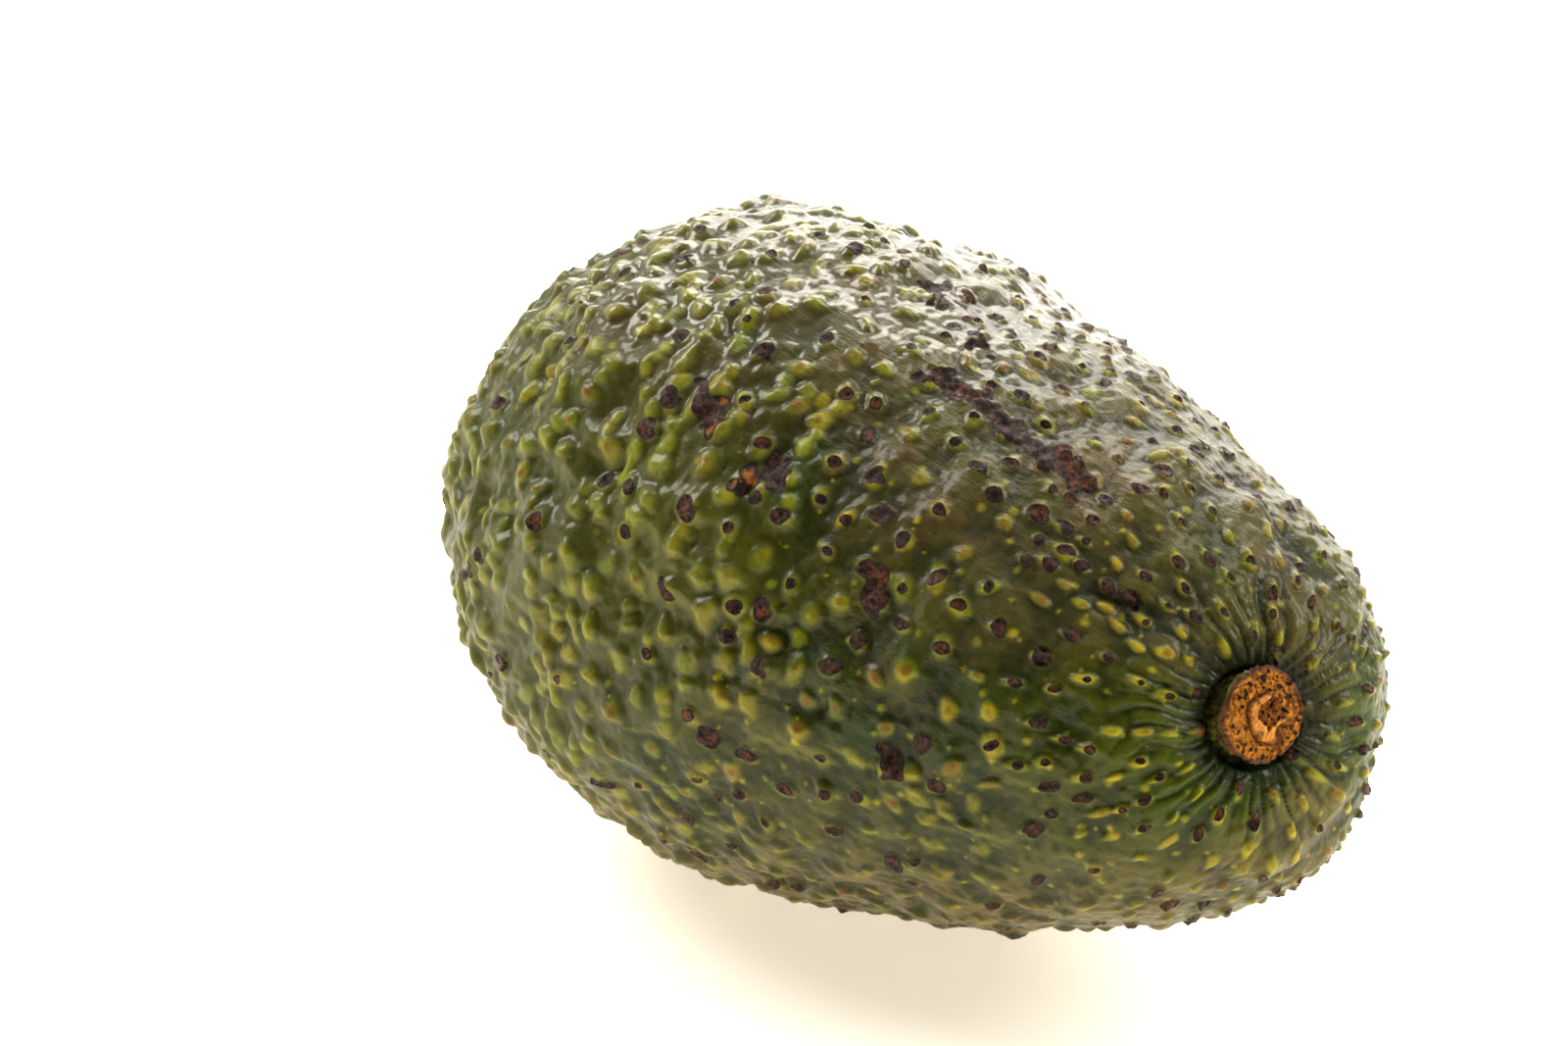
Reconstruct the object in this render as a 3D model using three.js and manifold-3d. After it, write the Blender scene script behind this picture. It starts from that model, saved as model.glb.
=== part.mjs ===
// An avocado lying on its side: the whole fruit and the cut stub of its stem.
// Millimetres, +Z up. The stem end points along +X, and the fruit rests on a small flat spot at Z = 0.
import * as THREE from 'three';
import { mergeVertices } from 'three/addons/utils/BufferGeometryUtils.js';
import Module from 'manifold-3d';

const wasm = await Module();
wasm.setup();

// The fruit's body, in millimetres. Places along it are measured on its middle line, from the centre.
const HALF_LENGTH = 53.5;
const MIDDLE_RADIUS = 32.2;
const EGG = { taper: -0.3, swell: 0.075, shoulder: 0.21 };  // give the egg shape its thick and thin ends
const ROUND_STEPS = 48;
const LENGTH_STEPS = 56;

// The neck bends in one even arc, in degrees and millimetres.
const BEND_START = -13;
const BEND_ANGLE = 16;
const BEND_ROLL = 141;   // turn of the bend's plane about the long axis
const DROOP = 3;         // how far the stem end lies lower than the blossom end

// The funnel that the stem stands in is on the bent side of the tip, and leans towards that side.
const STEM_ALONG = 49.3;
const STEM_ASIDE = 15.2;
const STEM_LEAN = 27;
const FUNNEL_DEPTH = 4;
const FUNNEL_RADIUS = 7;

// The flat spot under the fruit.
const FLAT_DEPTH = 1;

// The cut stub of the stem, and its seat in the fruit.
const STUB_RADIUS = 4;
const STUB_HEIGHT = 4.6;
const STUB_STEPS = 32;
const SEAT_DEPTH = 1.5;
const GAP = 0.3;

const SKIN = new THREE.MeshStandardMaterial({ color: 0x5d6236, roughness: 0.42, metalness: 0 });
const CORK = new THREE.MeshStandardMaterial({ color: 0xa8682a, roughness: 0.85, metalness: 0 });

const DEGREE = Math.PI / 180;

// The place at a distance s along the middle line, as a matrix whose +Y runs on towards the stem.
function placeOnMiddleLine(s) {
  const arcRadius = (HALF_LENGTH - BEND_START) / (BEND_ANGLE * DEGREE);
  const angle = Math.max(0, s - BEND_START) / arcRadius;
  const along = Math.min(s, BEND_START) + arcRadius * Math.sin(angle);
  const aside = arcRadius * (1 - Math.cos(angle));
  const frame = new THREE.Matrix4().makeRotationZ(angle);
  const swap = new THREE.Matrix4().makeBasis(
    new THREE.Vector3(0, 1, 0),
    new THREE.Vector3(1, 0, 0),
    new THREE.Vector3(0, 0, -1),
  );
  return frame.multiply(swap).setPosition(along, aside, 0);
}

// The turn from the bend's own plane to the way the fruit lies.
function lyingTurn() {
  const roll = new THREE.Matrix4().makeRotationX(BEND_ROLL * DEGREE);
  return new THREE.Matrix4().makeRotationY(DROOP * DEGREE).multiply(roll);
}

// The egg's outline, from the blossom end to the stem end, both on the axis.
function fruitOutline() {
  const outline = [];
  for (let step = 0; step <= LENGTH_STEPS; step += 1) {
    const turn = Math.PI * (step / LENGTH_STEPS);
    const u = -Math.cos(turn);
    const egg = 1 + EGG.taper * u + EGG.swell * u ** 2 + EGG.shoulder * u ** 3;
    const onAxis = step === 0 || step === LENGTH_STEPS;
    const radius = onAxis ? 0 : MIDDLE_RADIUS * Math.sin(turn) * egg;
    outline.push(new THREE.Vector2(radius, HALF_LENGTH * u));
  }
  return outline;
}

// Moves each point of a straight body, turned about Y, onto the bent middle line.
function bend(geometry) {
  const position = geometry.getAttribute('position');
  const point = new THREE.Vector3();
  for (let index = 0; index < position.count; index += 1) {
    point.fromBufferAttribute(position, index);
    const place = placeOnMiddleLine(point.y);
    point.setY(0).applyMatrix4(place);
    position.setXYZ(index, point.x, point.y, point.z);
  }
  return geometry;
}

// Where the stem stands: +Y runs out along the stem, from the skin as it would be with no funnel.
function stemPlace() {
  const lean = new THREE.Matrix4().makeRotationZ((STEM_LEAN - 90) * DEGREE);
  return lean.setPosition(STEM_ALONG, STEM_ASIDE, 0);
}

// Sinks the skin around the stem, most at the stem itself.
function sinkFunnel(geometry) {
  const place = stemPlace();
  const inPlace = place.clone().invert();
  const position = geometry.getAttribute('position');
  const point = new THREE.Vector3();
  for (let index = 0; index < position.count; index += 1) {
    point.fromBufferAttribute(position, index).applyMatrix4(inPlace);
    if (point.y > -HALF_LENGTH / 2) {
      const distance = Math.hypot(point.x, point.z);
      point.y -= FUNNEL_DEPTH * Math.exp(-((distance / FUNNEL_RADIUS) ** 2));
    }
    point.applyMatrix4(place);
    position.setXYZ(index, point.x, point.y, point.z);
  }
  return geometry;
}

// A closed geometry as a manifold solid, with its shared points merged and its empty faces dropped.
function toSolid(geometry) {
  const bare = geometry.clone();
  bare.deleteAttribute('normal');
  bare.deleteAttribute('uv');
  const merged = mergeVertices(bare);
  const index = merged.index.array;
  const faces = [];
  for (let first = 0; first < index.length; first += 3) {
    const [a, b, c] = index.slice(first, first + 3);
    if (a !== b && b !== c && c !== a) {
      faces.push(a, b, c);
    }
  }
  const mesh = new wasm.Mesh({
    numProp: 3,
    vertProperties: new Float32Array(merged.getAttribute('position').array),
    triVerts: new Uint32Array(faces),
  });
  return new wasm.Manifold(mesh);
}

function toGeometry(solid) {
  const mesh = solid.getMesh();
  const geometry = new THREE.BufferGeometry();
  geometry.setAttribute('position', new THREE.BufferAttribute(mesh.vertProperties, 3));
  geometry.setIndex(new THREE.BufferAttribute(mesh.triVerts, 1));
  return geometry;
}

// The stub: a short round post, a little waisted, with a domed cut face.
function stubOutline() {
  return [
    new THREE.Vector2(0, 0),
    new THREE.Vector2(STUB_RADIUS * 0.94, 0),
    new THREE.Vector2(STUB_RADIUS * 0.9, STUB_HEIGHT * 0.4),
    new THREE.Vector2(STUB_RADIUS, STUB_HEIGHT * 0.75),
    new THREE.Vector2(STUB_RADIUS * 0.93, STUB_HEIGHT * 0.89),
    new THREE.Vector2(STUB_RADIUS * 0.6, STUB_HEIGHT * 0.98),
    new THREE.Vector2(0, STUB_HEIGHT),
  ];
}

const turn = lyingTurn();
const seatFloor = new THREE.Matrix4().makeTranslation(0, -FUNNEL_DEPTH - SEAT_DEPTH, 0);
const seatPlace = stemPlace().multiply(seatFloor).premultiply(turn);

const egg = new THREE.LatheGeometry(fruitOutline(), ROUND_STEPS);
const body = sinkFunnel(bend(egg)).applyMatrix4(turn);
body.computeBoundingBox();
const floorHeight = body.boundingBox.min.z + FLAT_DEPTH;

// What is cut away: the flat spot's slice, and the stub's round seat.
const sliceHeight = 20;
const slice = new THREE.BoxGeometry(4 * HALF_LENGTH, 4 * HALF_LENGTH, sliceHeight);
slice.translate(0, 0, floorHeight - sliceHeight / 2);
const seatHeight = 2 * FUNNEL_DEPTH;
const seat = new THREE.CylinderGeometry(STUB_RADIUS + GAP, STUB_RADIUS + GAP, seatHeight, STUB_STEPS);
seat.translate(0, seatHeight / 2, 0).applyMatrix4(seatPlace);

const fruitGeometry = toGeometry(toSolid(body).subtract(toSolid(slice)).subtract(toSolid(seat)));
const stubGeometry = new THREE.LatheGeometry(stubOutline(), STUB_STEPS);
stubGeometry.translate(0, GAP, 0).applyMatrix4(seatPlace);

const fruit = new THREE.Mesh(fruitGeometry, SKIN);
fruit.name = 'fruit';
const stub = new THREE.Mesh(stubGeometry, CORK);
stub.name = 'stem_stub';

// The origin is on the floor, under the middle of the whole object's box.
const avocado = new THREE.Group();
avocado.add(fruit, stub);
const box = new THREE.Box3().setFromObject(avocado);
const middle = box.getCenter(new THREE.Vector3());
avocado.position.set(-middle.x, -middle.y, -floorHeight);

export default avocado;
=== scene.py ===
"""A whole avocado on its side: pebbly peel, dried stem stub, pale floor, soft light and camera."""
import math

import bpy
import numpy as np
from mathutils import Matrix, Vector


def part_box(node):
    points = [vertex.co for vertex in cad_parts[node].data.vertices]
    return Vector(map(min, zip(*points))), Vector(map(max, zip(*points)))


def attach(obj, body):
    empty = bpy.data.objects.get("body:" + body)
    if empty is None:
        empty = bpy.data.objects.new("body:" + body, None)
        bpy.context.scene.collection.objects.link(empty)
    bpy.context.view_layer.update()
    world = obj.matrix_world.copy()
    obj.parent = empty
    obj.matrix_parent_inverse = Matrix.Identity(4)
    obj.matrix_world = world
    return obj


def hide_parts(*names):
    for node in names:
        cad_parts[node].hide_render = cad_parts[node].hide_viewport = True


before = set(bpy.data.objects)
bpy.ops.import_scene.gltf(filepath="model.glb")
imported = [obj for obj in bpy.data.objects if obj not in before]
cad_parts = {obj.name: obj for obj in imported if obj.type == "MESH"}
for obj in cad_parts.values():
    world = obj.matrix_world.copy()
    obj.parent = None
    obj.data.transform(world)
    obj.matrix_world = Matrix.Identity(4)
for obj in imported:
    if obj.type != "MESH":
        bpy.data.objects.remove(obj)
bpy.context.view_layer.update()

# The peel is worked out in millimetres and turned into metres as its mesh is made.
MM = 0.001
FULL_TURN = 2 * math.pi

# The fruit's form, as the frame has it. Places along it are measured on its middle line, from the centre.
HALF_LENGTH = 53.5
MIDDLE_RADIUS = 32.2
TAPER, SWELL, SHOULDER = -0.3, 0.075, 0.21
BEND_START = -13
BEND_ANGLE = math.radians(16)
BEND_ROLL = math.radians(141)
DROOP = math.radians(3)
STEM_ALONG, STEM_ASIDE = 49.3, 15.2
STEM_LEAN = math.radians(27)
FUNNEL_DEPTH, FUNNEL_RADIUS = 4.0, 7.0
STUB_RADIUS, STUB_HEIGHT, SEAT_DEPTH = 4.0, 4.6, 1.5
GAP = 0.3

# Added to the distance from the stem on the blossom half, to keep the stem's own marks off it.
FAR_END_DISTANCE = 60

# The way that the side away from the camera faces. It is painted a deeper green, because the light behind
# the fruit is strong and would bleach it.
SHADED_SIDE = [-0.65, 0.75, 0.10]

# The peel's grid of points: rings from the blossom end to the stem end, and the points of each ring.
RINGS = 480
RING_POINTS = 720


def rise(value, low, high):
    """0 up to low, 1 from high, and a smooth rise between them; low may be the greater."""
    x = np.clip((value - low) / (high - low), 0, 1)
    return x * x * (3 - 2 * x)


def ripple(points, wavelength, seed, waves=28):
    """A smooth random field of about unit size, as many waves of about one length that cross."""
    rng = np.random.default_rng(seed)
    direction = rng.normal(size=(3, waves))
    direction /= np.linalg.norm(direction, axis=0)
    rate = FULL_TURN / wavelength * rng.uniform(0.7, 1.4, waves)
    phase = rng.uniform(0, FULL_TURN, waves)
    return np.cos(points @ (direction * rate) + phase).sum(axis=-1) * math.sqrt(2 / waves)


def outline():
    """Distance along the egg's side, place on the middle line and radius, from end to end."""
    u = -np.cos(np.linspace(0, math.pi, 4000))
    radius = MIDDLE_RADIUS * np.sqrt(1 - u**2) * (1 + TAPER * u + SWELL * u**2 + SHOULDER * u**3)
    along = HALF_LENGTH * u
    side = np.concatenate([[0], np.cumsum(np.hypot(np.diff(along), np.diff(radius)))])
    return side, along, radius


def bend(along, towards, across):
    """Moves points of a straight body onto the bent middle line, in the bend's own plane."""
    arc_radius = (HALF_LENGTH - BEND_START) / BEND_ANGLE
    angle = np.maximum(along - BEND_START, 0) / arc_radius
    x = np.minimum(along, BEND_START) + arc_radius * np.sin(angle) - np.sin(angle) * towards
    y = arc_radius * (1 - np.cos(angle)) + np.cos(angle) * towards
    return np.stack([x, y, -across + 0 * x], axis=-1)


def lie_down(points):
    """Turns points from the bend's own plane to the way that the fruit lies."""
    turn = Matrix.Rotation(DROOP, 3, "Y") @ Matrix.Rotation(BEND_ROLL, 3, "X")
    return points @ np.array(turn).T


def outward(points):
    """The unit direction square to a grid of points, away from its middle."""
    along = np.gradient(points, axis=0)
    across = np.roll(points, -1, axis=1) - np.roll(points, 1, axis=1)
    out = np.cross(across, along)
    out /= np.maximum(np.linalg.norm(out, axis=-1, keepdims=True), 1e-9)
    out[0] = out[1].mean(axis=0)
    out[-1] = out[-2].mean(axis=0)
    if ((points - points.mean(axis=(0, 1))) * out).sum() < 0:
        out = -out
    return out / np.linalg.norm(out, axis=-1, keepdims=True)


class Peel:
    """The fruit's smooth form as a grid of points, and the fields that the bumps and scars write on it."""

    def __init__(self):
        side, along, radius = outline()
        self.side = np.linspace(0, side[-1], RINGS + 1)[:, None]
        self.share = self.side / side[-1]
        self.around = np.linspace(0, 360, RING_POINTS, endpoint=False)[None, :]
        turned = np.radians(self.around) + BEND_ROLL - 1.5 * math.pi
        ring_radius = np.interp(self.side, side, radius)
        self.ring_radius = ring_radius[:, 0]
        straight = np.interp(self.side, side, along) + 0 * turned
        self.grain = np.stack([straight, ring_radius * np.cos(turned), ring_radius * np.sin(turned)], -1)
        bent = bend(*np.moveaxis(self.grain, -1, 0))
        axis = np.array([math.cos(STEM_LEAN), math.sin(STEM_LEAN), 0])
        foot = np.array([STEM_ALONG, STEM_ASIDE, 0])
        rise_on_axis = (bent - foot) @ axis
        from_axis = np.linalg.norm(bent - foot - rise_on_axis[..., None] * axis, axis=-1)
        stem_half = rise_on_axis > -HALF_LENGTH / 2
        sink = FUNNEL_DEPTH * np.exp(-((from_axis / FUNNEL_RADIUS) ** 2)) * stem_half
        self.stem_distance = from_axis + FAR_END_DISTANCE * ~stem_half
        smooth = lie_down(bent - sink[..., None] * axis)
        low, high = np.array(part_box("fruit")) / MM
        middle = (smooth.min(axis=(0, 1)) + smooth.max(axis=(0, 1))) / 2
        self.shift = np.array([*((low + high) / 2 - middle)[:2], high[2] - smooth.max(axis=(0, 1))[2]])
        self.points = smooth + self.shift
        self.stem_axis = lie_down(axis)
        self.stem_foot = lie_down(foot) + self.shift
        self.find_directions()
        self.height = np.zeros(self.points.shape[:2])
        names = ("tip", "scar", "split", "rust", "furrow")
        self.marks = {name: np.zeros_like(self.height) for name in names}
        self.make_regions()

    def find_directions(self):
        """The outward direction, and the directions towards the stem and across, at each point."""
        self.out = outward(self.points)
        to_stem = self.stem_foot - 2 * self.stem_axis - self.points
        to_stem -= (to_stem * self.out).sum(axis=-1, keepdims=True) * self.out
        self.to_stem = to_stem / np.maximum(np.linalg.norm(to_stem, axis=-1, keepdims=True), 1e-9)

    def make_regions(self):
        """Where the peel changes its look: shares from 0 to 1 over the whole grid."""
        drift = ripple(self.points, 45, seed=3)
        share = self.share + 0.03 * drift
        around = self.around + 9 * drift

        def near(degrees):
            return np.cos(np.radians(around - degrees))

        self.blossom = rise(share, 0.60, 0.38)
        self.neck = rise(self.stem_distance + 2 * drift, 26, 12)
        self.under = rise(near(35), 0.1, 0.9) * (1 - self.neck)
        self.cheek = rise(np.hypot((share - 0.66) / 0.20, (around - 122) / 48), 1.0, 0.35)
        self.back = rise(near(185), 0.45, 0.95) * rise(share, 0.35, 0.55) * (1 - 0.7 * self.neck)
        self.polish = rise(near(190), 0.45, 0.85) * rise(share, 0.15, 0.4)
        self.polish *= 0.12 + 0.88 * rise(share, 0.70, 0.50)
        self.shade = rise(self.out @ SHADED_SIDE, 0.0, 0.75)
        self.belly = rise(near(18), 0.50, 0.92)
        self.crown = rise(near(168), 0.50, 0.92) * rise(share, 0.1, 0.3)

    def patch(self, row, column, reach):
        """The grid points within reach of one, and how far each is towards the stem and across."""
        step = self.side[1, 0] - self.side[0, 0]
        rows = np.arange(max(0, int(row - reach / step - 1)), min(RINGS, int(row + reach / step + 2)) + 1)
        narrowest = max(self.ring_radius[rows].min(), 0.1)
        half = int(reach / (narrowest * FULL_TURN / RING_POINTS)) + 2
        columns = np.arange(column - half, column + half + 1) % RING_POINTS
        if 2 * half + 1 >= RING_POINTS:
            columns = np.arange(RING_POINTS)
        index = np.ix_(rows, columns)
        offset = self.points[index] - self.points[row, column]
        ahead = self.to_stem[row, column]
        aside = np.cross(self.out[row, column], ahead)
        return index, offset @ ahead, offset @ aside

    def step(self, row, column, far_ahead, far_aside):
        """The grid point that lies this far from another, towards the stem and across."""
        index, ahead, aside = self.patch(row, column, math.hypot(far_ahead, far_aside) + 1)
        miss = (ahead - far_ahead) ** 2 + (aside - far_aside) ** 2
        place = np.unravel_index(np.argmin(miss), miss.shape)
        rows, columns = (part.ravel() for part in index)
        return rows[place[0]], columns[place[1]]

    def nearest(self, share, around):
        """The grid point at a share of the way to the stem end and at degrees round from underneath."""
        return int(round(share * RINGS)), int(round(around / 360 * RING_POINTS)) % RING_POINTS


def scatter(peel, spacing, tries, seed):
    """Random grid points that keep at least their spacing from each other, in no order."""
    rng = np.random.default_rng(seed)
    weight = peel.ring_radius / peel.ring_radius.sum()
    rows = rng.choice(RINGS + 1, size=tries, p=weight)
    columns = rng.integers(0, RING_POINTS, size=tries)
    kept = np.empty((tries, 3))
    chosen = []
    for row, column in zip(rows, columns):
        place = peel.points[row, column]
        near = kept[: len(chosen)] - place
        if len(chosen) and (near**2).sum(axis=1).min() < spacing[row, column] ** 2:
            continue
        kept[len(chosen)] = place
        chosen.append((row, column))
    return chosen


def raise_dome(peel, row, column, length, width, height, turn, tip, drop=0.0):
    """One bump: longer towards the stem if turn is 0, and with drop, blunt at that end like a drop."""
    index, ahead, aside = peel.patch(row, column, 1.6 * length)
    warp = 0.10 * width
    ahead = ahead + warp * peel.warp_a[index]
    aside = aside + warp * peel.warp_b[index]
    x = ahead * math.cos(turn) + aside * math.sin(turn)
    y = aside * math.cos(turn) - ahead * math.sin(turn)
    x = np.where(x > 0, x / (length * (1 - drop)), x / (length * (1 + drop)))
    inside = np.clip(1 - x**2 - (y / width) ** 2, 0, 1)
    dome = height * inside**0.95
    peel.height[index] = np.cbrt(peel.height[index] ** 3 + dome**3)
    mark = peel.marks["tip"]
    mark[index] = np.maximum(mark[index], tip * rise(inside, 0.25, 0.95))


def cut_scar(peel, row, column, radius, depth, stretch=1.0, turn=0.0, split=0.0):
    """A dry round scar of cork, sunk in its middle, with a low rim."""
    index, ahead, aside = peel.patch(row, column, 1.9 * radius * stretch)
    ahead = ahead + 0.25 * radius * peel.warp_b[index]
    aside = aside + 0.25 * radius * peel.warp_a[index]
    x = ahead * math.cos(turn) + aside * math.sin(turn)
    y = aside * math.cos(turn) - ahead * math.sin(turn)
    distance = np.hypot(x / stretch, y) / radius
    rim = np.exp(-(((distance - 0.95) / 0.25) ** 2))
    peel.height[index] += depth * (0.5 * rim - rise(distance, 0.95, 0.3))
    for name, strength in (("scar", 1.0), ("split", split)):
        mark = peel.marks[name]
        mark[index] = np.maximum(mark[index], strength * rise(distance, 1.5, 0.0))


# The mean distance between bumps in millimetres, in each part of the peel, and how far from the middle
# of the stem the first ones stand.
OPEN_SPACING, BLOSSOM_SPACING, BACK_SPACING, NECK_SPACING, UNDER_SPACING = 3.15, 2.85, 2.6, 2.25, 3.1
BUMPS_CLEAR, BEADS_CLEAR = 5.0, 8.0
NONE_NEAR = 50


def grow_bumps(peel):
    """Pebbles all over: crowded at the blossom end, small on top, drawn out round the stem."""
    rng = np.random.default_rng(11)
    wander = 1 + 0.13 * ripple(peel.points, 14, seed=5)
    spacing = OPEN_SPACING + (BLOSSOM_SPACING - OPEN_SPACING) * peel.blossom
    spacing = spacing + (BACK_SPACING - spacing) * 0.8 * peel.back
    spacing = spacing + (NECK_SPACING - spacing) * peel.neck
    spacing = (spacing + (UNDER_SPACING - spacing) * 0.6 * peel.under) * wander
    spacing = np.where(peel.stem_distance < BUMPS_CLEAR, NONE_NEAR, spacing)
    for row, column in scatter(peel, spacing, 30000, seed=7):
        blossom, neck = peel.blossom[row, column], peel.neck[row, column]
        under, back, crown = peel.under[row, column], peel.back[row, column], peel.crown[row, column]
        size = rng.uniform(1.0, 1.55) * (1 + 0.12 * blossom) * (1 - 0.2 * back)
        aspect = rng.uniform(1.0, 1.35)
        turn = rng.uniform(0, math.pi)
        drop = 0.0
        if rng.random() < 0.35 * blossom + 0.08:
            aspect = rng.uniform(1.4, 2.1)
            turn = rng.normal(math.pi / 2, 0.5)
        if rng.random() < 0.5 * back:
            aspect = rng.uniform(1.3, 1.9)
            turn = rng.normal(0, 0.3)
        if rng.random() < 1.8 * neck:
            aspect = rng.uniform(1.6, 2.5)
            turn = rng.normal(0, 0.10)
            drop = 0.35
            size *= 0.62
        height = rng.uniform(0.40, 0.68) * (0.84 + 0.38 * blossom + 0.12 * neck - 0.12 * back)
        height *= 1 - 0.15 * under
        tip = (rng.uniform(0.45, 1.0) + 0.3 * neck) * (1 - 0.4 * under * (1 - blossom))
        raise_dome(peel, row, column, size * aspect**0.6, size / aspect**0.4, height, turn, tip, drop)
        if rng.random() < 0.45 * blossom:
            aside = rng.choice((-1, 1)) * 1.25 * size
            beside = peel.step(row, column, rng.normal(0, 0.4) * size, aside)
            raise_dome(peel, *beside, 0.8 * size, 0.8 * size, 0.85 * height, 0.0, tip)
        kind = rng.random()
        scarred = 0.50 * (1 - blossom) * (1 - 0.65 * under) * (1 - 0.4 * neck)
        scarred += 0.09 + 0.12 * crown
        if kind < scarred:
            radius = rng.uniform(0.42, 0.92) * (1 - 0.4 * max(neck, 0.5 * back))
            cut_scar(peel, row, column, radius, 0.20, rng.uniform(1.0, 1.35 + 0.5 * neck))
        elif kind < scarred + 0.24 + 0.15 * crown:
            spot(peel, row, column, rng.uniform(0.25, 0.6), "rust", rng.uniform(0.4, 1.0))


def spot(peel, row, column, radius, name, strength=1.0):
    """A small round spot of colour with no height of its own."""
    index, ahead, aside = peel.patch(row, column, 1.6 * radius)
    distance = np.hypot(ahead + 0.2 * radius * peel.warp_a[index], aside) / radius
    mark = peel.marks[name]
    mark[index] = np.maximum(mark[index], strength * rise(distance, 1.3, 0.5))


def grow_beads(peel):
    """Tiny pale beads between the bumps."""
    rng = np.random.default_rng(23)
    spacing = np.where(peel.stem_distance < BEADS_CLEAR, NONE_NEAR, 2.6 + 2.0 * peel.blossom)
    for row, column in scatter(peel, spacing, 5000, seed=29):
        size = rng.uniform(0.28, 0.6)
        raise_dome(peel, row, column, size, size, rng.uniform(0.06, 0.16), 0, rng.uniform(0.5, 1.0))


def furrow(peel, places, width, depth, dark):
    """A groove along a smooth way through places, each a share of the length and degrees round; dark is how
    strongly shade is painted in it.
    """
    ends = np.array(places, float)
    steps = np.linspace(0, len(ends) - 1, 60 * len(ends))
    shares = np.interp(steps, range(len(ends)), ends[:, 0])
    turns = np.interp(steps, range(len(ends)), ends[:, 1])
    groove = np.zeros_like(peel.height)
    for step, share, turn in zip(steps, shares, turns):
        row, column = peel.nearest(share, turn)
        fade = min(1.0, 3 * min(step, len(ends) - 1 - step) / (len(ends) - 1) + 0.15)
        index, ahead, aside = peel.patch(row, column, 2.5 * width)
        stray = 0.3 * width
        distance = np.hypot(ahead + stray * peel.warp_a[index], aside + stray * peel.warp_b[index])
        groove[index] = np.maximum(groove[index], fade * np.exp(-((distance / width) ** 2)))
    peel.height -= depth * groove
    peel.marks["furrow"] = np.maximum(peel.marks["furrow"], dark * groove)


def torn_scar(peel, start, end, width, pieces, seed, spread=1.0, split=0.0):
    """A ragged run of cork scars between two places."""
    rng = np.random.default_rng(seed)
    for share_of_way in np.linspace(0, 1, pieces):
        share = start[0] + (end[0] - start[0]) * share_of_way + spread * rng.normal(0, 0.003)
        around = start[1] + (end[1] - start[1]) * share_of_way + spread * rng.normal(0, 0.8)
        row, column = peel.nearest(share, around)
        radius = width * rng.uniform(0.55, 1.2)
        cut_scar(peel, row, column, radius, 0.08, rng.uniform(1.0, 1.9), rng.uniform(0, math.pi), split)


def flute_stem_end(peel):
    """Fine ridges that run down the funnel to the stem, with painted shade between them."""
    axis = peel.stem_axis
    side = np.cross(axis, [0.0, 0.0, 1.0])
    side /= np.linalg.norm(side)
    from_foot = peel.points - peel.stem_foot
    angle = np.arctan2(from_foot @ np.cross(axis, side), from_foot @ side)
    distance = peel.stem_distance
    sway = 0.22 * ripple(peel.points, 9, seed=41)
    flute = np.abs(np.sin(17 * angle + 5 * sway)) ** 0.8 + 0.5 * np.abs(np.sin(29 * angle + 7 * sway))
    where = rise(distance, 3.6, 6.0) * rise(distance, 17, 7)
    peel.height += where * (0.25 * flute - 0.24)
    peel.marks["furrow"] = np.maximum(peel.marks["furrow"], where * rise(flute, 0.8, 0.25) * 0.85)


def shape_peel():
    """The whole peel, with its swells, bumps, furrows and scars."""
    peel = Peel()
    peel.warp_a = ripple(peel.points, 2.6, seed=1)
    peel.warp_b = ripple(peel.points, 2.6, seed=2)
    grow_bumps(peel)
    grow_beads(peel)
    furrow(peel, [(0.925, 138), (0.87, 142), (0.83, 141), (0.775, 136)], 1.1, 0.50, 0.75)
    furrow(peel, [(0.48, 104), (0.53, 101), (0.60, 106), (0.66, 111)], 1.4, 0.22, 0.25)
    furrow(peel, [(0.60, 92), (0.66, 97), (0.74, 99)], 1.4, 0.18, 0.2)
    furrow(peel, [(0.90, 205), (0.82, 199), (0.74, 203)], 1.2, 0.40, 0.6)
    torn_scar(peel, (0.595, 163), (0.745, 160), 0.76, 60, seed=51)
    torn_scar(peel, (0.588, 160), (0.606, 164), 0.80, 6, seed=52)
    torn_scar(peel, (0.510, 181), (0.602, 173), 0.50, 24, seed=53, spread=2.5)
    torn_scar(peel, (0.440, 140), (0.478, 134), 0.80, 9, seed=54, split=1.0)
    torn_scar(peel, (0.512, 129), (0.540, 125), 0.80, 6, seed=55, split=1.0)
    torn_scar(peel, (0.536, 132), (0.545, 130), 0.75, 3, seed=56)
    torn_scar(peel, (0.648, 121), (0.662, 117), 0.80, 4, seed=57)
    torn_scar(peel, (0.682, 89), (0.690, 86), 0.70, 4, seed=58)
    flute_stem_end(peel)
    swell = 0.28 * ripple(peel.points, 21, seed=61) + 0.20 * ripple(peel.points, 7, seed=62)
    fine = 0.045 * ripple(peel.points, 1.9, seed=63) + 0.02 * ripple(peel.points, 1.0, seed=64)
    peel.height += swell * rise(peel.stem_distance, 5, 14) + fine * (1 + peel.marks["scar"])
    crest = np.sqrt(ripple(peel.points, 9, seed=65) ** 2 + 0.04)
    peel.height += 0.35 * np.maximum(peel.blossom, 0.6 * peel.under) * (0.5 - crest)
    peel.height -= 0.25
    return peel


def hollows(height):
    """Where the peel lies lower than its neighbourhood, from 0 to 1: where shade is painted."""
    mean = height
    for reach in (1, 2, 3, 5, 7):
        mean = (mean + np.roll(mean, reach, axis=0) + np.roll(mean, -reach, axis=0)) / 3
        mean = (mean + np.roll(mean, reach, axis=1) + np.roll(mean, -reach, axis=1)) / 3
    return rise(mean - height, -0.04, 0.22)


def tilts(peel):
    """Where the bumps turn the peel upwards and downwards, from 0 to 1 each: where shade and light are
    painted.
    """
    bumpy = outward(peel.points + peel.out * peel.height[..., None])
    more_up = (bumpy - peel.out)[..., 2]
    return rise(more_up, 0.08, 0.40), rise(more_up, -0.10, -0.45)


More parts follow.
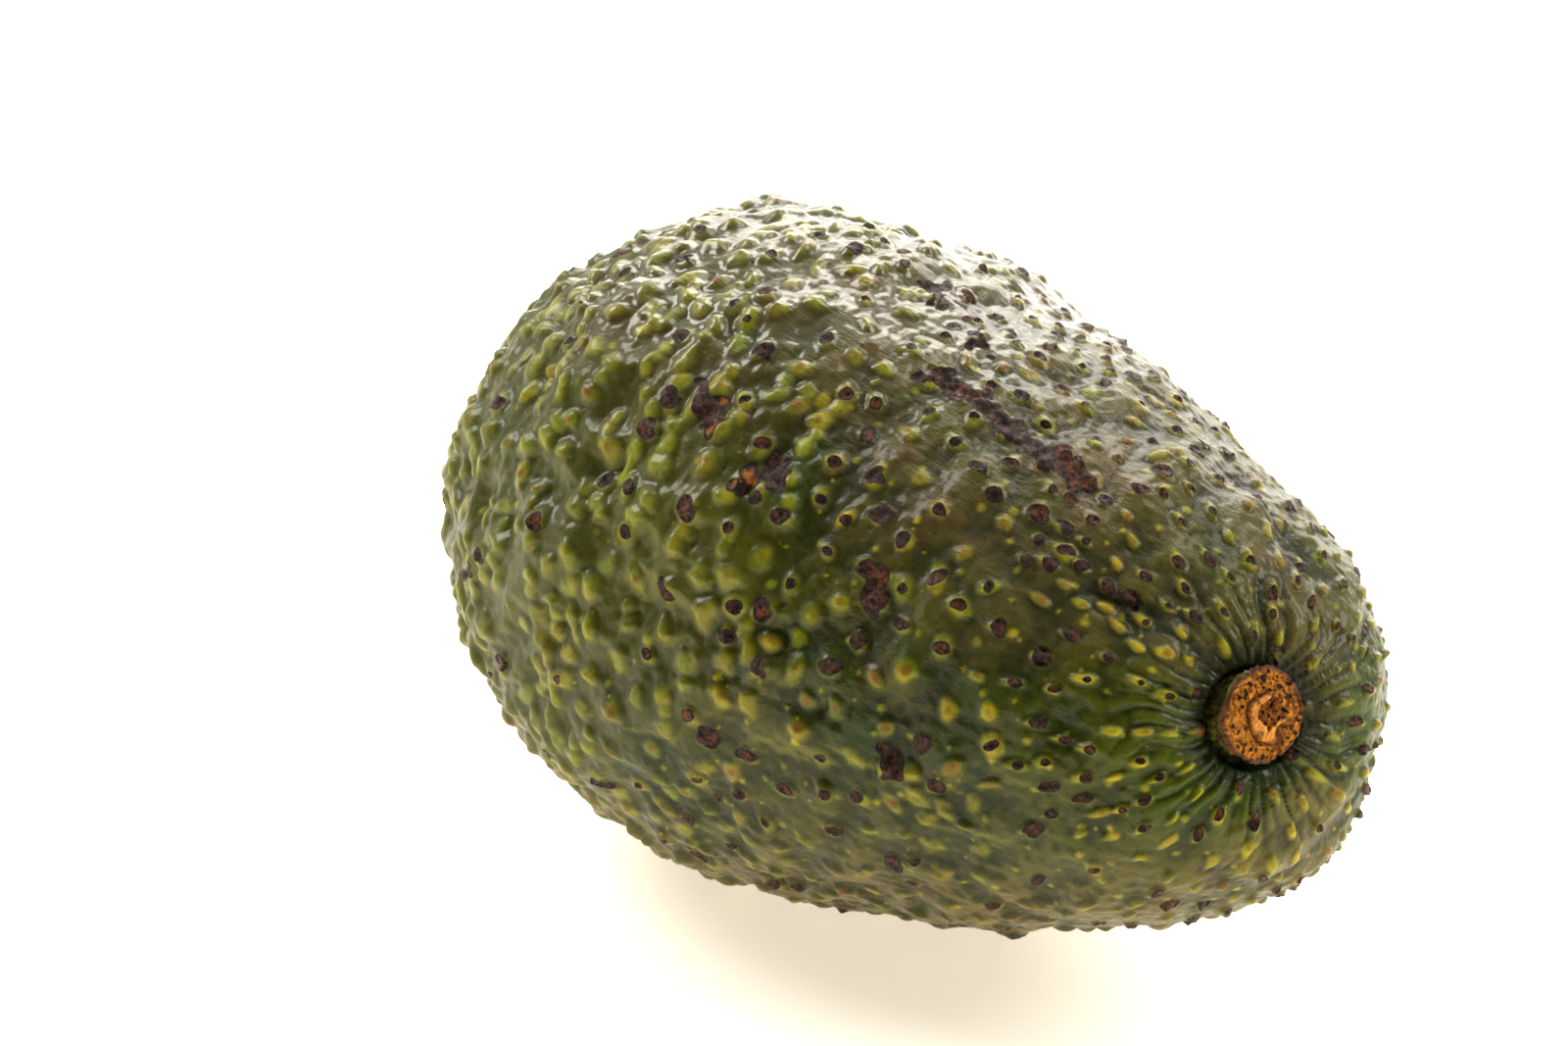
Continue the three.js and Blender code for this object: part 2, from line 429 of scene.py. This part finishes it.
def mesh_from_grid(name, points, marks, grain):
    """A closed mesh of rings, with each end drawn together in one point, and fields as attributes."""
    rings, ring_points = points.shape[:2]
    inner = points[1:-1].reshape(-1, 3)
    ends = np.stack([points[0].mean(axis=0), points[-1].mean(axis=0)])
    vertices = np.concatenate([inner, ends]) * MM
    first, last = len(inner), len(inner) + 1
    here = np.arange(ring_points)
    ahead = (here + 1) % ring_points
    rows = (np.arange(rings - 3) * ring_points)[:, None]
    above = rows + ring_points
    quads = np.stack([rows + here, rows + ahead, above + ahead, above + here], axis=-1).reshape(-1, 4)
    bottom = np.stack([np.full(ring_points, first), ahead, here], axis=-1)
    top_row = (rings - 3) * ring_points
    top = np.stack([np.full(ring_points, last), top_row + here, top_row + ahead], axis=-1)
    mesh = bpy.data.meshes.new(name)
    mesh.from_pydata(vertices, [], quads.tolist() + bottom.tolist() + top.tolist())
    for key, field in marks.items():
        attribute = mesh.attributes.new(key, "FLOAT", "POINT")
        values = np.concatenate([field[1:-1].ravel(), [field[0].mean(), field[-1].mean()]])
        attribute.data.foreach_set("value", values.astype(np.float32))
    attribute = mesh.attributes.new("grain", "FLOAT_VECTOR", "POINT")
    values = np.concatenate([grain[1:-1].reshape(-1, 3), grain[[0, -1], 0]]) * MM
    attribute.data.foreach_set("vector", values.astype(np.float32).ravel())
    wrap_flat(mesh, rings, ring_points, len(quads))
    mesh.shade_smooth()
    mesh.validate()
    made = bpy.data.objects.new(name, mesh)
    bpy.context.scene.collection.objects.link(made)
    return made


def wrap_flat(mesh, rings, ring_points, quad_count):
    """A flat map of the rings for baking: round them to the right, from end to end upwards."""
    layer = mesh.uv_layers.new(name="OFBake")
    here = np.tile(np.arange(ring_points), rings - 3)
    row = np.repeat(np.arange(1, rings - 2), ring_points)
    left, right = here / ring_points, (here + 1) / ring_points
    low, high = row / (rings - 1), (row + 1) / (rings - 1)
    quads = np.stack([left, low, right, low, right, high, left, high], axis=-1).ravel()
    here = np.arange(ring_points)
    left, right, middle = here / ring_points, (here + 1) / ring_points, (here + 0.5) / ring_points
    edge = np.full(ring_points, 1 / (rings - 1))
    bottom = np.stack([middle, 0 * edge, right, edge, left, edge], axis=-1).ravel()
    top = np.stack([middle, 0 * edge + 1, left, 1 - edge, right, 1 - edge], axis=-1).ravel()
    layer.data.foreach_set("uv", np.concatenate([quads, bottom, top]).astype(np.float32))


def make_peel_piece(peel):
    """The peel's mesh: its points moved out by its bumps, and pressed flat where the fruit rests."""
    seat_edge = STUB_RADIUS + GAP
    seat = SEAT_DEPTH * rise(peel.stem_distance, seat_edge + 0.35, seat_edge)
    points = peel.points + peel.out * peel.height[..., None]
    points -= peel.stem_axis * seat[..., None]
    softness = 0.12
    height = points[..., 2]
    points[..., 2] = 0.5 * (height + np.sqrt(height**2 + softness**2))
    marks = dict(peel.marks)
    marks["blossom"] = peel.blossom
    marks["cheek"] = peel.cheek
    marks["under"] = peel.under
    marks["back"] = peel.back
    marks["neck"] = peel.neck
    marks["polish"] = peel.polish
    marks["crown"] = peel.crown
    marks["belly"] = peel.belly
    marks["shade"] = peel.shade
    marks["hollow_shade"] = hollows(peel.height)
    # The bumps' upward slopes get painted shade and their downward slopes painted light.
    marks["upper"], marks["lower"] = tilts(peel)
    # Where shade is painted into the sunk funnel round the stub.
    marks["seat"] = rise(peel.stem_distance, 8.5, 4.8)
    return mesh_from_grid("peel", points, marks, peel.grain)


# The stub's grid: rings from the middle of its hidden foot, up its side and in over its cut face.
FOOT_RINGS, SIDE_RINGS, FACE_RINGS = 4, 46, 74
STUB_POINTS = 260
STUB_LEAN = 0.7
STUB_SIDE = [(0.94, 0.0), (0.92, 0.40), (1.0, 0.66), (1.08, 0.78), (1.07, 0.87), (1.0, 0.92)]


def stub_outline():
    """Radius and height of each ring, as shares of the stub's own, and how far in on the face each is."""
    foot = np.linspace(0, STUB_SIDE[0][0], FOOT_RINGS, endpoint=False)
    steps = np.linspace(0, 1, SIDE_RINGS)
    knots = np.linspace(0, 1, len(STUB_SIDE))
    side_radius = np.interp(steps, knots, [radius for radius, height in STUB_SIDE])
    side_height = np.interp(steps, knots, [height for radius, height in STUB_SIDE])
    face = np.linspace(STUB_SIDE[-1][0], 0, FACE_RINGS + 1)[1:]
    face_height = STUB_SIDE[-1][1] + 0.085 * (1 - (face / STUB_SIDE[-1][0]) ** 2)
    radius = np.concatenate([foot, side_radius, face])
    height = np.concatenate([0 * foot, side_height, face_height])
    on_face = rise(np.arange(len(radius)), FOOT_RINGS + SIDE_RINGS - 5, FOOT_RINGS + SIDE_RINGS + 2)
    return radius, height, on_face


def make_stub_piece(peel):
    """The dried stub: a knobbly post whose domed face has a rough rim, a pale ring and a torn middle."""
    radius, height, on_face = (row[:, None] for row in stub_outline())
    angle = np.linspace(0, FULL_TURN, STUB_POINTS, endpoint=False)[None, :]
    base = np.stack([radius * np.cos(angle), radius * np.sin(angle), height + 0 * angle], axis=-1)
    base *= [STUB_RADIUS, STUB_RADIUS, STUB_HEIGHT]
    lump = ripple(base, 2.6, seed=71)
    grit = ripple(base, 0.75, seed=72)
    dust = ripple(base, 0.33, seed=73)
    crack = rise(np.abs(ripple(base * [1, 1, 0.4], 1.7, seed=74)), 0.35, 0.0)
    share = np.hypot(radius * np.cos(angle) - 0.05, radius * np.sin(angle) + 0.04)
    heart = 0.52 + 0.04 * np.cos(2 * angle + 0.6) + 0.03 * np.cos(3 * angle - 1.0) + 0.05 * lump
    opening = rise(np.cos(angle - 0.3), 0.55, 0.92)
    thick = 0.24 - 0.09 * np.cos(angle - 0.3) + 0.04 * grit
    inner_edge = heart - thick
    ring = rise(share, inner_edge - 0.04, inner_edge + 0.04) * rise(share, heart + 0.03, heart - 0.03)
    ring = ring * (1 - opening) * on_face
    moat = np.exp(-(((share - heart - 0.075) / 0.045) ** 2)) * on_face * (1 - 0.6 * opening)
    middle = rise(share, inner_edge + 0.04, inner_edge - 0.06) * on_face
    bark = np.maximum(rise(share, heart + 0.08, heart + 0.15), opening * rise(share, 0.2, 0.35)) * on_face
    holes = rise(grit, 0.8, 1.5) * (bark + middle)
    up = 0.10 * lump * on_face + bark * (0.10 * grit + 0.05 * dust) - 0.30 * moat + 0.10 * ring
    up += 0.02 * dust * ring - middle * (0.22 + 0.10 * np.abs(grit) + 0.05 * dust) - 0.22 * holes
    out = (1 - on_face) * (0.10 * lump + 0.05 * grit + 0.02 * dust - 0.16 * crack) + 0.10 * lump * on_face
    rim_line = 3.0 * np.stack([np.cos(angle), np.sin(angle), 0 * angle], axis=-1)
    chip = rise(ripple(rim_line, 1.6, seed=75), 1.0, 1.9)
    edge = np.exp(-(((radius - 0.96) / 0.07) ** 2)) * rise(height, 0.7, 0.85)
    out -= 0.35 * chip * edge
    up -= 0.30 * chip * edge
    around = np.stack([np.cos(angle) + 0 * radius, np.sin(angle) + 0 * radius], axis=-1)
    base[..., :2] += around * (out * rise(radius, 0.05, 0.5))[..., None]
    base[..., 2] += up * (height > 0.3)
    base[..., 1] += STUB_LEAN * np.clip(height, 0, 1)
    axis = peel.stem_axis
    side = np.cross([0.0, 0.0, 1.0], axis)
    side /= np.linalg.norm(side)
    foot = peel.stem_foot - (FUNNEL_DEPTH + SEAT_DEPTH - GAP) * axis
    points = foot + base @ np.stack([side, np.cross(axis, side), axis])
    marks = {
        "face": on_face + 0 * angle,
        "ring": ring,
        "moat": moat,
        "middle": middle,
        "holes": holes,
        "crack": crack * (1 - on_face),
        "high": np.clip(height, 0, 1) + 0 * angle,
        "chip": chip * edge,
    }
    return mesh_from_grid("stem_stub_cork", points, marks, base)


class Wire:
    """A socket that takes part in sums: each sum adds its own node."""

    def __init__(self, shader, socket):
        self.shader = shader
        self.socket = socket

    def sum(self, operation, first, second):
        return self.shader.node("ShaderNodeMath", {"operation": operation}, {0: first, 1: second})

    def __add__(self, other):
        return self.sum("ADD", self, other)

    def __radd__(self, other):
        return self.sum("ADD", other, self)

    def __sub__(self, other):
        return self.sum("SUBTRACT", self, other)

    def __rsub__(self, other):
        return self.sum("SUBTRACT", other, self)

    def __mul__(self, other):
        return self.sum("MULTIPLY", self, other)

    def __rmul__(self, other):
        return self.sum("MULTIPLY", other, self)


class Shader:
    """A node tree, and the few ways in which this object's finishes add to it."""

    def __init__(self, tree):
        self.tree = tree
        tree.nodes.clear()

    def node(self, kind, settings, sockets, output=0):
        made = self.tree.nodes.new(kind)
        for name, value in settings.items():
            setattr(made, name, value)
        for name, value in sockets.items():
            if isinstance(value, Wire):
                self.tree.links.new(value.socket, made.inputs[name])
            else:
                made.inputs[name].default_value = value
        return Wire(self, made.outputs[output]) if made.outputs else None

    def field(self, name):
        return self.node("ShaderNodeAttribute", {"attribute_name": name}, {}, "Fac")

    def place(self):
        return self.node("ShaderNodeTexCoord", {}, {}, "Object")

    def noise(self, place, size, detail=3.0, roughness=0.5):
        """Noise about 0.5, whose blots are about this many millimetres across."""
        sockets = {"Vector": place, "Scale": 1 / (size * MM), "Detail": detail, "Roughness": roughness}
        return self.node("ShaderNodeTexNoise", {}, sockets, "Fac")

    def dots(self, place, size):
        """How far the nearest of many scattered points is, as a share of their spacing in millimetres."""
        sockets = {"Vector": place, "Scale": 1 / (size * MM)}
        return self.node("ShaderNodeTexVoronoi", {}, sockets, "Distance")

    def rise(self, value, low, high, bottom=0.0, top=1.0):
        settings = {"interpolation_type": "SMOOTHSTEP"}
        sockets = {"Value": value, "From Min": low, "From Max": high, "To Min": bottom, "To Max": top}
        return self.node("ShaderNodeMapRange", settings, sockets)

    def mix(self, share, first, second):
        return self.node("ShaderNodeMix", {"data_type": "RGBA"}, {0: share, 6: first, 7: second}, 2)

    def dot(self, first, second):
        sockets = {0: first, 1: tuple(second)}
        return self.node("ShaderNodeVectorMath", {"operation": "DOT_PRODUCT"}, sockets, "Value")

    def bump(self, height, distance, normal=None):
        """Relief whose full height is this many millimetres."""
        sockets = {"Height": height, "Strength": 1.0, "Distance": distance * MM}
        if normal is not None:
            sockets["Normal"] = normal
        return self.node("ShaderNodeBump", {}, sockets, "Normal")


def paint(red, green, blue):
    """A colour on the screen's scale of 0 to 255, as the shader's linear numbers."""
    shares = [value / 255 for value in (red, green, blue)]
    linear = [s / 12.92 if s <= 0.04045 else ((s + 0.055) / 1.055) ** 2.4 for s in shares]
    return (*linear, 1.0)


def new_material(name):
    material = bpy.data.materials.new(name)
    material.use_nodes = True
    return material, Shader(material.node_tree)


def finish_with(shader, sockets):
    surface = shader.node("ShaderNodeBsdfPrincipled", {}, sockets, "BSDF")
    shader.node("ShaderNodeOutputMaterial", {}, {"Surface": surface})


def peel_material():
    """Waxy green peel: dark between the bumps, yellow-green on them, brown cork scars, and painted shade
    and light.
    """
    material, s = new_material("waxy_peel")
    place = s.place()
    grain = s.node("ShaderNodeAttribute", {"attribute_name": "grain"}, {}, "Vector")
    strands = s.node("ShaderNodeVectorMath", {"operation": "MULTIPLY"}, {0: grain, 1: (0.10, 1.0, 1.0)})
    tip, scar, split, rust, groove = (s.field(name) for name in ("tip", "scar", "split", "rust", "furrow"))
    blossom, cheek, under, back = (s.field(name) for name in ("blossom", "cheek", "under", "back"))
    neck, seat, polish, hollow_shade = (s.field(name) for name in ("neck", "seat", "polish", "hollow_shade"))
    upper, lower, crown = s.field("upper"), s.field("lower"), s.field("crown")
    broad = s.noise(place, 22, 3)
    patchy = s.noise(place, 6, 4, 0.6)
    fine = s.noise(place, 1.3, 4, 0.6)
    streak = s.noise(strands, 1.1, 4, 0.65)

    green = s.mix(s.rise(broad, 0.38, 0.62), paint(42, 58, 6), paint(72, 74, 9))
    green = s.mix(s.rise(patchy, 0.45, 0.7) * 0.5, green, paint(52, 40, 7))
    green = s.mix(cheek * s.rise(patchy, 0.4, 0.65) * 0.6, green, paint(66, 54, 5))
    green = s.mix(neck * 0.6, green, paint(76, 90, 14))
    bloom = s.rise(s.noise(place, 9, 4, 0.6) + 0.30 * blossom + 0.08 * under, 0.56, 0.84)
    green = s.mix(bloom * 0.55, green, paint(90, 92, 38))
    green = s.mix(crown * s.rise(patchy, 0.2, 0.55) * 0.55, green, paint(78, 58, 26))
    green = s.mix(back * 0.3, green, paint(110, 100, 40))
    green = s.mix(s.field("belly") * 0.5, green, paint(122, 104, 54))
    # Painted shade: a darker green in the hollows between the bumps, strongest away from the blossom end.
    green = s.mix(hollow_shade * s.rise(blossom, 1.0, 0.0, 0.2, 0.65), green, paint(22, 32, 4))
    bright = s.mix(s.rise(patchy, 0.35, 0.65), paint(136, 150, 10), paint(196, 176, 22))
    bright = s.mix(blossom * 0.6, bright, paint(122, 132, 40))
    bright = s.mix(neck * 0.45, bright, paint(164, 152, 16))
    lit = tip * s.rise(fine, 0.15, 0.55)
    skin = s.mix(lit * 0.9, green, bright)
    # Painted shade on the bumps' upward slopes and painted light on their downward slopes, strongest low on
    # the fruit, as if lit from the floor below.
    skin = s.mix(upper * (0.15 + 0.6 * under) * (1 - blossom * 0.6), skin, paint(26, 40, 6))
    skin = s.mix(lower * (0.3 * tip + 0.35 * under), skin, paint(150, 146, 30))
    russet = back * s.rise(s.noise(place, 13, 4, 0.65), 0.46, 0.62)
    skin = s.mix(russet * s.rise(streak, 0.35, 0.7) * 0.75, skin, paint(116, 86, 50))
    skin = s.mix(s.rise(streak, 0.58, 0.76) * (0.2 + 0.3 * back), skin, paint(112, 106, 54))
    speck = s.rise(s.dots(place, 2.3), 0.14, 0.06)
    skin = s.mix(speck * (1 - tip) * s.rise(patchy, 0.5, 0.6) * 0.7, skin, paint(160, 150, 40))
    # Painted shade: a darker green in the grooves and between the flutes at the stem end.
    skin = s.mix(groove * (1 - 0.8 * tip), skin, paint(26, 34, 8))
    # Painted shade: a very dark green in the funnel round the stub.
    skin = s.mix(seat * 0.85, skin, paint(16, 28, 8))
    skin = s.mix(rust * s.rise(fine, 0.2, 0.5) * 0.9, skin, paint(116, 58, 20))
    ragged = scar + 0.34 * s.noise(place, 0.8, 4, 0.7) - 0.17
    torn = s.rise(ragged, 0.17, 0.27)
    crumb = s.noise(place, 0.5, 4, 0.65)
    cork = s.mix(s.rise(crumb, 0.42, 0.68), paint(26, 16, 15), paint(80, 52, 42))
    some = s.rise(s.noise(place, 5, 2), 0.5, 0.6, 0.15, 0.9)
    cork = s.mix(s.rise(ragged, 0.35, 0.7) * s.rise(crumb, 0.40, 0.58) * some, cork, paint(112, 62, 36))
    flesh = s.rise(split, 0.3, 0.8) * s.rise(s.noise(place, 2.2, 3, 0.6), 0.52, 0.62)
    cork = s.mix(flesh, cork, s.mix(crumb, paint(110, 58, 10), paint(180, 112, 24)))
    skin = s.mix(s.field("shade") * 0.45, skin, paint(10, 18, 2))
    skin = s.mix(torn, skin, cork)

    gloss = s.rise(s.noise(place, 1.2, 4, 0.7), 0.3, 0.7, 0.24, 0.42) + 0.12 * bloom
    hair = s.noise(strands, 0.5, 4, 0.7)
    relief = s.bump(s.noise(place, 0.9, 4, 0.6), 0.17)
    relief = s.bump(s.noise(place, 0.3, 3, 0.65), 0.04, relief)
    relief = s.bump(hair * (0.2 + back + 0.35 * cheek + 0.3 * crown), 0.42, relief)
    relief = s.bump(crumb * torn, 0.34, relief)
    coat = (1 - torn) * (0.16 + 0.08 * blossom + 0.06 * under + 0.46 * polish) + torn * 0.05
    finish_with(s, {
        "Base Color": skin,
        "Roughness": gloss,
        "Normal": relief,
        "Coat Weight": coat,
        "Coat Roughness": 0.20,
        "IOR": 1.40,
        "Specular IOR Level": 0.17,
    })
    return material


def cork_material():
    """Dried stem: orange-brown cork on the cut face with a paler ring, greenish bark on the side."""
    material, s = new_material("dried_stem")
    place = s.place()
    face, ring, moat, middle = (s.field(name) for name in ("face", "ring", "moat", "middle"))
    holes, crack, high, chip = (s.field(name) for name in ("holes", "crack", "high", "chip"))
    grit = s.noise(place, 0.45, 5, 0.7)
    blot = s.noise(place, 1.6, 4, 0.6)
    cork = s.mix(s.rise(grit, 0.35, 0.62), paint(100, 48, 8), paint(208, 134, 34))
    cork = s.mix(s.rise(blot, 0.5, 0.7) * 0.5, cork, paint(170, 104, 18))
    bark = s.mix(s.rise(blot, 0.4, 0.62), paint(112, 112, 36), paint(84, 66, 34))
    bark = s.mix(s.rise(high + 0.2 * blot, 0.82, 1.0), bark, paint(96, 54, 40))
    colour = s.mix(face, bark, cork)
    colour = s.mix(ring, colour, s.mix(s.rise(grit, 0.3, 0.7), paint(204, 126, 44), paint(232, 160, 74)))
    colour = s.mix(middle * 0.7, colour, paint(118, 66, 22))
    colour = s.mix(moat * 0.8, colour, paint(52, 30, 14))
    colour = s.mix(s.rise(holes, 0.1, 0.5), colour, paint(44, 26, 14))
    colour = s.mix(crack * 0.7, colour, paint(60, 44, 24))
    colour = s.mix(s.rise(s.noise(place, 0.8, 4, 0.6), 0.54, 0.64) * 0.7, colour, paint(58, 32, 22))
    colour = s.mix(chip * 0.6, colour, paint(70, 40, 30))
    relief = s.bump(grit, 0.22)
    relief = s.bump(s.noise(place, 0.12, 3, 0.6), 0.05, relief)
    finish_with(s, {
        "Base Color": colour,
        "Roughness": s.rise(blot, 0.3, 0.7, 0.62, 0.86),
        "Normal": relief,
        "Specular IOR Level": 0.2,
    })
    return material


# The floor is lit from below as well, so that shadows on it stay faint.
FLOOR_GLOW = 0.70


def floor_material():
    """Matt white card, very slightly warm."""
    material, s = new_material("white_card")
    tooth = s.noise(s.place(), 0.8, 3)
    finish_with(s, {
        "Base Color": s.mix(s.noise(s.place(), 120, 2), paint(250, 245, 236), paint(252, 248, 241)),
        "Roughness": 0.75,
        "Normal": s.bump(tooth, 0.01),
        "Emission Color": paint(255, 242, 222),
        "Emission Strength": FLOOR_GLOW,
    })
    return material


def make_floor():
    half = 3.0
    mesh = bpy.data.meshes.new("floor")
    corners = [(-half, -half, 0), (half, -half, 0), (half, half, 0), (-half, half, 0)]
    mesh.from_pydata(corners, [], [(0, 1, 2, 3)])
    floor = bpy.data.objects.new("floor", mesh)
    bpy.context.scene.collection.objects.link(floor)
    floor.data.materials.append(floor_material())


# The camera's place: degrees above the floor and round from the fruit's side to its stem end, and metres.
LOOK_DOWN, LOOK_ROUND, TILT = math.radians(23.65), math.radians(41.3), math.radians(0.67)
CAMERA_DISTANCE = 0.384
AIM_LEFT, AIM_UP = 0.0132, 0.0058


def towards(round_from_side, up):
    """The direction from the fruit at degrees round, from its -Y side towards +X, and degrees up."""
    turn, rise_up = math.radians(round_from_side), math.radians(up)
    level = math.cos(rise_up)
    return Vector((math.sin(turn) * level, -math.cos(turn) * level, math.sin(rise_up)))


def middle_of_fruit():
    low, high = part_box("fruit")
    return (Vector(low) + Vector(high)) / 2


def make_camera():
    data = bpy.data.cameras.new("camera")
    data.lens = 90
    data.sensor_width = 36
    data.clip_start = 0.01
    camera = bpy.data.objects.new("camera", data)
    bpy.context.scene.collection.objects.link(camera)
    back = towards(math.degrees(LOOK_ROUND), math.degrees(LOOK_DOWN))
    turn = back.to_track_quat("Z", "Y").to_matrix() @ Matrix.Rotation(TILT, 3, "Z")
    aim = middle_of_fruit() + turn @ Vector((-AIM_LEFT, AIM_UP, 0))
    camera.matrix_world = Matrix.Translation(aim + CAMERA_DISTANCE * back) @ turn.to_4x4()
    bpy.context.scene.camera = camera


def soft_light(name, direction, distance, size, power, colour):
    """A square soft box that faces the fruit."""
    data = bpy.data.lights.new(name, "AREA")
    data.shape = "SQUARE"
    data.size = size
    data.energy = power
    data.color = colour
    light = bpy.data.objects.new(name, data)
    bpy.context.scene.collection.objects.link(light)
    turn = direction.to_track_quat("Z", "Y").to_matrix().to_4x4()
    light.matrix_world = Matrix.Translation(middle_of_fruit() + distance * direction) @ turn
    return light


# Each light's name, the direction it stands in, its distance and width in metres, its watts and its colour.
SOFT_BOXES = [
    ("back_box", towards(212, 48), 0.9, 0.35, 5.0, (1.0, 0.96, 0.87)),
    ("left_box", towards(-75, 42), 0.8, 0.35, 6.0, (1.0, 0.96, 0.88)),
    ("right_box", towards(118, 38), 0.9, 0.4, 7.0, (1.0, 0.97, 0.90)),
]

# These light nothing by themselves: they only show as sheen on the wax.
SHEEN_PANELS = [
    ("sheen_panel", towards(209, 16), 1.1, 1.1, 20.0, (1.0, 0.96, 0.88)),
    ("glint_panel", towards(150, 72), 0.9, 0.35, 3.0, (1.0, 0.98, 0.92)),
]


def make_lights():
    """A bright white room, darker where the camera stands, with the soft boxes and the sheen panels."""
    world = bpy.data.worlds.new("studio")
    bpy.context.scene.world = world
    world.use_nodes = True
    s = Shader(world.node_tree)
    seen = s.node("ShaderNodeTexCoord", {}, {}, "Generated")
    dark = s.dot(seen, towards(30, 22))
    height = s.node("ShaderNodeSeparateXYZ", {}, {0: seen}, 2)
    colour = s.mix(s.rise(height, 0.42, 0.12), (1.0, 0.96, 0.88, 1.0), (2.6, 2.5, 2.35, 1.0))
    colour = s.mix(s.rise(dark, 0.0, 0.6), colour, (0.03, 0.03, 0.02, 1.0))
    light = s.node("ShaderNodeBackground", {}, {"Color": colour, "Strength": 0.45}, "Background")
    s.node("ShaderNodeOutputWorld", {}, {"Surface": light})
    for name, direction, distance, size, power, colour in SOFT_BOXES:
        soft_light(name, direction, distance, size, power, colour)
    for name, direction, distance, size, power, colour in SHEEN_PANELS:
        panel = soft_light(name, direction, distance, size, power, colour)
        panel.visible_diffuse = False
        panel.visible_camera = False


def build():
    make_camera()
    make_lights()
    make_floor()
    peel = shape_peel()
    skin = make_peel_piece(peel)
    skin.data.materials.append(peel_material())
    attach(skin, "root")
    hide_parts("fruit")
    stub = make_stub_piece(peel)
    stub.data.materials.append(cork_material())
    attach(stub, "root")
    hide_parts("stem_stub")
    bpy.context.scene.view_settings.view_transform = "Standard"


build()
